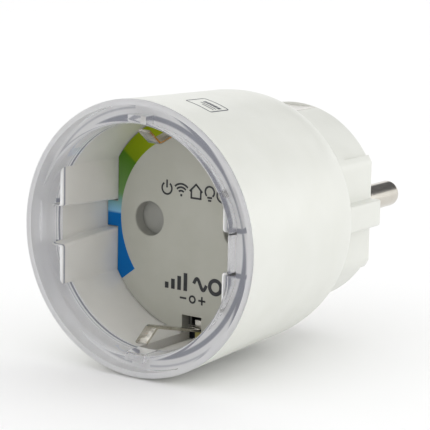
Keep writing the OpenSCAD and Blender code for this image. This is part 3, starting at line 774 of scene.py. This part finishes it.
def buttonProfile(d):
    # stem, retaining flange, and a cap with a rounded edge and a slightly dished face, a parabola;
    # from the inside outwards, which is to the left
    top, base = buttonLow[0], buttonHigh[0]
    front = -(bodyR(buttonY) - d["flangeIn"])
    back = front + d["flangeT"]
    share = np.linspace(d["dishShare"], 0, 8)
    face = np.stack([d["r"] * share, top + d["dish"] * (1 - (share / d["dishShare"]) ** 2)], -1)
    side = rounded([(0, base, 0), (d["stemR"], base, 0.1), (d["stemR"], back, 0),
                    (d["flangeR"], back, 0.1), (d["flangeR"], front, 0.1), (d["r"], front, 0),
                    (d["r"], top, d["edge"]), (*face[0], 0)], 6, closed=False)
    return np.concatenate([side, face[1:]])


buttonAbs = mouldedPlastic("mouldedAbsButton", "#E6E6E0", "#DFDFD8", rough=0.3)
buttonGrid = latheX(buttonProfile(button), 96, (buttonY, 0))
pushButton = meshFrom("pushButton", [(buttonGrid, False, True)], sharp=35)
place(pushButton, "button", ["button_cap"], buttonAbs)


def stroke(path, width, closed=False):
    # a ribbon of constant width along a path, as a flat bar: both edges, and the same in front;
    # its points are (across, up, depth)
    path = np.asarray(path, float)
    t = np.roll(path, -1, 0) - np.roll(path, 1, 0) if closed else np.gradient(path, axis=0)
    t /= np.maximum(np.linalg.norm(t, axis=1, keepdims=True), 1e-9)
    n = np.stack([-t[:, 1], t[:, 0]], -1) * width / 2
    sides = np.stack([path + n, path - n, path - n, path + n], 1)
    depth = np.broadcast_to(np.array([0, 0, 1, 1.0])[None, :, None], (*sides.shape[:2], 1))
    rows = np.concatenate([sides, depth], -1)
    if not closed:
        ends = [np.broadcast_to(rows[k].mean(0), rows[k].shape)[None] for k in (0, -1)]
        rows = np.concatenate([ends[0], rows, ends[1]])
    return rows, closed


def ringPath(x, z, r, a0=0, a1=360, n=40):
    turn = np.radians(np.linspace(a0, a1, n))
    return np.stack([x + r * np.cos(turn), z + r * np.sin(turn)], -1)


def fullRing(x, z, r, width):
    return stroke(ringPath(x, z, r)[:-1], width, True)


def bar(x0, z0, x1, z1, width, parts=2):
    return stroke(denser(np.array([(x0, z0), (x1, z1)], float), parts), width)


ink = {
    "thick": 0.03, "lift": 0.005, "thin": 0.34, "bold": 0.78, "rise": 0.3,
    "power": -5.75, "radio": -2.65, "house": 0.5, "lamp": 3.4, "clock": 6.1,  # x of each mark
    "levels": (1.1, 1.8, 2.5, 3.2), "levelX": -5.5, "levelStep": 1.35, "levelZ": -12.2,
    "waveX": 0.35, "waveLen": 2.7, "waveZ": -10.6, "waveHigh": 0.95, "waveWidth": 0.62,
    "dial": (4.95, -10.65, 1.2, 0.7), "signZ": -13.5, "dot": (0.1, 0.58),
}


def floorMarks(d):
    # upper row of line pictograms, bold level bars with a wave, and a small minus, dot and plus
    t = d["thin"]
    x = d["power"]
    marks = [stroke(ringPath(x, 5.6, 1.05, 125, 415), t), bar(x, 5.7, x, 7.1, t)]
    x = d["radio"]
    marks += [stroke(ringPath(x, 4.75, r, 45, 135, 18), t) for r in (0.75, 1.35, 1.95)]
    marks += [bar(x - 0.2, 4.7, x + 0.2, 4.7, 0.42)]
    x = d["house"]
    marks += [bar(x - 1.0, 4.5, x + 1.0, 4.5, t), bar(x - 1.0, 4.36, x - 1.0, 5.9, t),
              bar(x + 1.0, 4.36, x + 1.0, 5.9, t), bar(x - 1.35, 5.65, x + 0.06, 7.0, t),
              bar(x + 1.35, 5.65, x - 0.06, 7.0, t)]
    x = d["lamp"]
    marks += [stroke(ringPath(x, 5.95, 0.95, -50, 230), t), bar(x - 0.5, 4.95, x + 0.5, 4.95, t),
              bar(x - 0.35, 4.45, x + 0.35, 4.45, t)]
    x = d["clock"]
    marks += [fullRing(x, 5.6, 1.15, t), bar(x, 5.45, x, 6.4, t),
              bar(x - 0.1, 5.6, x + 0.65, 5.6, t)]
    for k, height in enumerate(d["levels"]):
        x, z = d["levelX"] + k * d["levelStep"], d["levelZ"]
        marks.append(bar(x, z, x, z + height, d["bold"]))
    s = np.linspace(0, 1, 30)
    wave = np.stack([d["waveX"] + d["waveLen"] * s,
                     d["waveZ"] + d["waveHigh"] * np.sin(2 * np.pi * s)], -1)
    z = d["signZ"]
    marks += [stroke(wave, d["waveWidth"]), fullRing(*d["dial"]),
              bar(-2.6, z, -1.2, z, t), fullRing(d["dot"][0], z, d["dot"][1], t),
              bar(1.4, z, 2.9, z, t), bar(2.15, z - 0.75, 2.15, z + 0.75, t)]
    return marks


def flatMarks(marks, y, d):
    # the drawing laid on the foil, standing in front of it by the ink's thickness
    return [(np.stack([rows[..., 0], y - d["thick"] * rows[..., 2], rows[..., 1] + d["rise"]], -1),
             closed, True) for rows, closed in marks]


def printingInk(name, colour, tint):
    # pad printing ink: a thin, slightly glossy film whose cover varies a little
    material, shader = newFinish(name, IOR=1.5)
    join(material, shader,
         Base_Color=cloudOf(material, 0.5, 4, colour, tint),
         Roughness=variedOf(material, 0.2, 2, 0.3, 0.5))
    return material


blackInk = printingInk("padPrintBlack", "#15161A", "#24252A")
greyInk = printingInk("padPrintGrey", "#3C3F49", "#4E515B")
floorPrint = meshFrom("floorPrint", flatMarks(floorMarks(ink), foilY - ink["lift"], ink), sharp=40)
place(floorPrint, "plug_body", [], blackInk)

label = {
    "y0": -40.3, "y1": -34.9, "a0": 67.4, "a1": 80.6, "bodyR": 23.2, "thick": 0.03, "lift": 0.004,
    "corner": 0.4, "line": 0.2, "dashes": 5, "dashX": 0.5, "dashStep": 0.72, "dashLen": 0.56,
    "dashV": 3.5, "dashWidth": 0.85, "rows": ((2.4, 3.9), (1.6, 3.0)), "rowX": 0.6,
}


def labelMarks(d):
    # a frame with one strong row of dashes and two faint lines, drawn flat: u round the body, v
    # along it
    w, h = math.radians(d["a1"] - d["a0"]) * d["bodyR"], d["y1"] - d["y0"]
    corner = d["corner"]
    outline = rounded([(0, 0, corner), (w, 0, corner), (w, h, corner), (0, h, corner)], 4)
    outline = denser(np.concatenate([outline, outline[:1]]), 4)[:-1]
    marks = [stroke(outline, d["line"], True)]
    for k in range(d["dashes"]):
        u = d["dashX"] + k * d["dashStep"]
        marks.append(bar(u, d["dashV"], u + d["dashLen"], d["dashV"], d["dashWidth"]))
    marks += [bar(d["rowX"], v, end, v, d["line"], parts=7) for v, end in d["rows"]]
    return marks


def roundBody(marks, d):
    # the flat drawing laid on the tapered body
    grids = []
    for rows, closed in marks:
        y = d["y0"] + rows[..., 1]
        turn = math.radians(d["a0"]) + rows[..., 0] / d["bodyR"]
        r = bodyR(y) + d["lift"] + d["thick"] * rows[..., 2]
        grids.append((np.stack([r * np.cos(turn), y, r * np.sin(turn)], -1), closed, True))
    return grids


bodyPrint = meshFrom("bodyPrint", roundBody(labelMarks(label), label), sharp=40)
place(bodyPrint, "plug_body", [], greyInk)
print("prints done")

foil = {
    "discR": 15.8, "silver": ("#B5B5AC", "#AFAFA5"), "line": "#A9BE92",
    "borders": (-127, -89.5, -53, -17, 19, 55, 91, 127),  # degrees from the top, clockwise
    "fields": (("#0062A8", "#0066AE"), ("#86BBDD", "#467010"), ("#708700", "#98A300"),
               ("#B9B400", "#E6C800"), ("#EBB000", "#EE8A00"), ("#E86E10", "#DD4A18"),
               ("#D23A1E", "#B8202A")),
    "green": "#688C54", "greenAt": 0.35,
}


def scaleStops(d):
    # the colour scale as (share of a turn, colour): two colours to a field, and a pale line
    # between fields
    border = [0.5 + a / 360 for a in d["borders"]]
    stops = []
    for k, (first, last) in enumerate(d["fields"]):
        stops.append((border[k] + 0.0008, first))
        if k == 1:
            green = border[1] * (1 - d["greenAt"]) + border[2] * d["greenAt"]
            stops.append((green, d["green"]))
        stops.append((border[k + 1] - 0.0008, last))
        if k < len(d["fields"]) - 1:
            stops += [(border[k + 1] - 0.0006, d["line"]), (border[k + 1] + 0.0006, d["line"])]
    return border, stops


def printedFoil(d):
    # matt printed polyester: silver grey disc inside a colour scale from blue to red
    material, shader = newFinish("printedPolyesterFoil", IOR=1.57, Specular_IOR_Level=0.12)
    part, radius = placeOf(material)
    turn = addNode(material, "ShaderNodeMath", {"operation": "ARCTAN2"},
                   {0: part["X"], 1: part["Z"]})
    share = addNode(material, "ShaderNodeMapRange", None,
                    {0: turn, 1: -math.pi, 2: math.pi, 3: 0, 4: 1})
    scale = addNode(material, "ShaderNodeValToRGB", None, {0: share}, "Color")
    border, stops = scaleStops(d)
    elements = scale.node.color_ramp.elements
    while len(elements) < len(stops):
        elements.new(0.5)
    for element, (at, code) in zip(elements, stops):
        element.position = at
    for element, (at, code) in zip(elements, stops):
        element.color = hexColour(code)
    outside = addNode(material, "ShaderNodeMath", {"operation": "GREATER_THAN"},
                      {0: radius, 1: d["discR"] * mm})
    after = addNode(material, "ShaderNodeMath", {"operation": "GREATER_THAN"},
                    {0: share, 1: border[0]})
    before = addNode(material, "ShaderNodeMath", {"operation": "LESS_THAN"},
                     {0: share, 1: border[-1]})
    between = addNode(material, "ShaderNodeMath", {"operation": "MULTIPLY"},
                      {0: after, 1: before})
    onScale = addNode(material, "ShaderNodeMath", {"operation": "MULTIPLY"},
                      {0: outside, 1: between})
    colour = addNode(material, "ShaderNodeMix", {"data_type": "RGBA"},
                     {0: onScale, 6: cloudOf(material, 6, 3, *d["silver"]), 7: scale}, 2)
    join(material, shader,
         Base_Color=colour,
         Roughness=variedOf(material, 0.8, 3, 0.38, 0.5),
         Normal=reliefOf(material, 0.12, 0.003))
    return material


def solderMask(name, colour, tint):
    # glass epoxy board: glossy lacquer over copper tracks that stand up a little
    material, shader = newFinish(name, IOR=1.5)
    where = addNode(material, "ShaderNodeTexCoord", output="Object")
    fieldMm = 4.2
    tracks = addNode(material, "ShaderNodeTexBrick", {"offset": 0.5},
                     {"Vector": where, "Scale": 1 / (fieldMm * mm), "Mortar Size": 0.04,
                      "Color1": hexColour(colour), "Color2": hexColour(tint),
                      "Mortar": hexColour("#3A3E42")}, "Color")
    raised = addNode(material, "ShaderNodeBump", None,
                     {"Height": tracks.node.outputs["Fac"], "Distance": 0.03 * mm})
    join(material, shader,
         Base_Color=tracks,
         Roughness=variedOf(material, 1.2, 2, 0.2, 0.34),
         Normal=raised)
    return material


brass = platedMetal("rolledBrass", "#C9B177", "#B79C5E", rough=0.28, grain=0.1,
                    stretch=(1, 0.1, 1))
stripNickel = platedMetal("platedStripNickel", "#E4E2DE", "#DEDCD7", rough=0.32, grain=0.15,
                          stretch=(1, 0.12, 1), depth=0.002)
copper = platedMetal("rolledCopper", "#C98A62", "#B5714A", rough=0.3, grain=0.08,
                     stretch=(1, 0.1, 1))
zinc = platedMetal("zincPlatedSteel", "#BFC1C3", "#A9ACB0", rough=0.32)
tinned = platedMetal("tinnedSteelCan", "#C4C6C8", "#B4B7BA", rough=0.38, grain=0.3)
board = solderMask("solderMaskBlack", "#17191B", "#1D2022")
boardWhite = solderMask("solderMaskWhite", "#E2E2DC", "#D8D8D2")
finishes = {
    "floor_foil": printedFoil(foil),
    # the floor part is white plastic; it is coloured grey as painted shade, so that the walls of
    # the pin holes look shaded
    "socket_floor": mouldedPlastic("mouldedFloorPaintedShade", "#A3A39D", "#9C9C95", rough=0.45),
    "shutter": mouldedPlastic("mouldedPomGrey", "#A2A29C", "#999993", rough=0.42, grain=0.3),
    "contact_carrier": mouldedPlastic("mouldedPbtIvory", "#DAD9CF", "#D0CFC4", rough=0.5),
    "pin_carrier": mouldedPlastic("glassFilledPolyamideGrey", "#6E7072", "#626466", rough=0.55,
                                  grain=0.4, depth=0.012),
    "line_contact": brass, "neutral_contact": brass, "earth_socket": brass,
    "earth_strip_top": stripNickel, "earth_strip_bottom": stripNickel, "earth_bridge": stripNickel,
    "line_link": copper, "neutral_link": copper, "case_screws": zinc, "shutter_spring": zinc,
    "power_board": board, "control_board": board, "switch_board": board, "led_board": boardWhite,
    "relay": mouldedPlastic("mouldedPbtBlue", "#1F4B8C", "#234F90", rough=0.3),
    "capacitor": mouldedPlastic("shrunkPvcSleeve", "#23262B", "#2B2E34", rough=0.25),
    "transformer": mouldedPlastic("polyesterWindingTape", "#D2B23C", "#C7A52F", rough=0.28),
    "radio_module": tinned,
    "fuse": mouldedPlastic("firedCeramicTube", "#DAD5C8", "#CFC9BA", rough=0.5),
    "leds": mouldedPlastic("phosphorResin", "#F0E7A6", "#E6DA8C", rough=0.2),
    "tact_switch": mouldedPlastic("mouldedPbtBlack", "#222325", "#2B2C2E", rough=0.4),
    "switch_plunger": mouldedPlastic("mouldedPomNatural", "#E6E1D0", "#DCD6C3", rough=0.35),
}
for name, finish in finishes.items():
    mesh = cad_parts[name].data
    mesh.materials.clear()
    mesh.materials.append(finish)
print("finishes done:", len(finishes))

# floor and light, in metres and watts
studio = {
    "floorGap": 0.15 * mm, "floorSize": (6, 6), "world": 1.05,
    "lights": (("keyLight", (0.8, 0.6, 0.12), (0, -0.02, 0), 2.2),
               ("fillLight", (-0.4, -1.0, 0.5), (0, -0.03, 0), 0.4)),
    "lightSize": 0.6,
    "cards": (("cardBack", (0.05, 0.95, 0.50), (1.0, 0.45)),
              ("cardFront", (-0.35, -0.9, 0.62), (0.5, 0.2))),
}


def flatFinish(name, rough, spotMm, colour, tint, **constants):
    # dull, even surface with a very slight mottle
    material, shader = newFinish(name, Roughness=rough, **constants)
    mottle = blotchesOf(material, spotMm)
    join(material, shader,
         Base_Color=addNode(material, "ShaderNodeMix", {"data_type": "RGBA"},
                            {0: mottle, 6: hexColour(colour), 7: hexColour(tint)}, 2))
    return material


def stagePlane(name, centre, size, normal, material):
    bpy.ops.mesh.primitive_plane_add(size=1)
    plane = bpy.context.object
    plane.name = name
    plane.scale = (*size, 1)
    plane.rotation_euler = Vector(normal).to_track_quat("Z", "Y").to_euler()
    plane.location = centre
    plane.data.materials.append(material)
    return plane


def softLight(name, spot, aim, size, power):
    data = bpy.data.lights.new(name, "AREA")
    data.shape, data.size, data.energy = "SQUARE", size, power
    lamp = bpy.data.objects.new(name, data)
    lamp.location = Vector(spot)
    lamp.rotation_euler = (Vector(aim) - Vector(spot)).to_track_quat("-Z", "Y").to_euler()
    bpy.context.scene.collection.objects.link(lamp)


paintedBoard = flatFinish("matPaintedBoard", 0.9, 60, "#FAFAFA", "#F7F7F7", IOR=1.45)
stagePlane("floor", (0, 0, -rimR * mm - studio["floorGap"]), studio["floorSize"], (0, 0, 1),
           paintedBoard)
# dark cards that only reflections show, as the dark side of a studio does on bright metal
flock = flatFinish("blackFlock", 0.95, 5, "#4A4A4E", "#525256")
for name, spot, size in studio["cards"]:
    card = stagePlane(name, spot, size, (-Vector(spot)).normalized(), flock)
    card.visible_camera = False
    card.visible_shadow = False
    card.visible_diffuse = False

world = bpy.data.worlds.new("studio")
world.use_nodes = True
background = world.node_tree.nodes["Background"]
background.inputs["Color"].default_value = (1, 1, 1, 1)
background.inputs["Strength"].default_value = studio["world"]
bpy.context.scene.world = world
for name, spot, aim, power in studio["lights"]:
    softLight(name, spot, aim, studio["lightSize"], power)
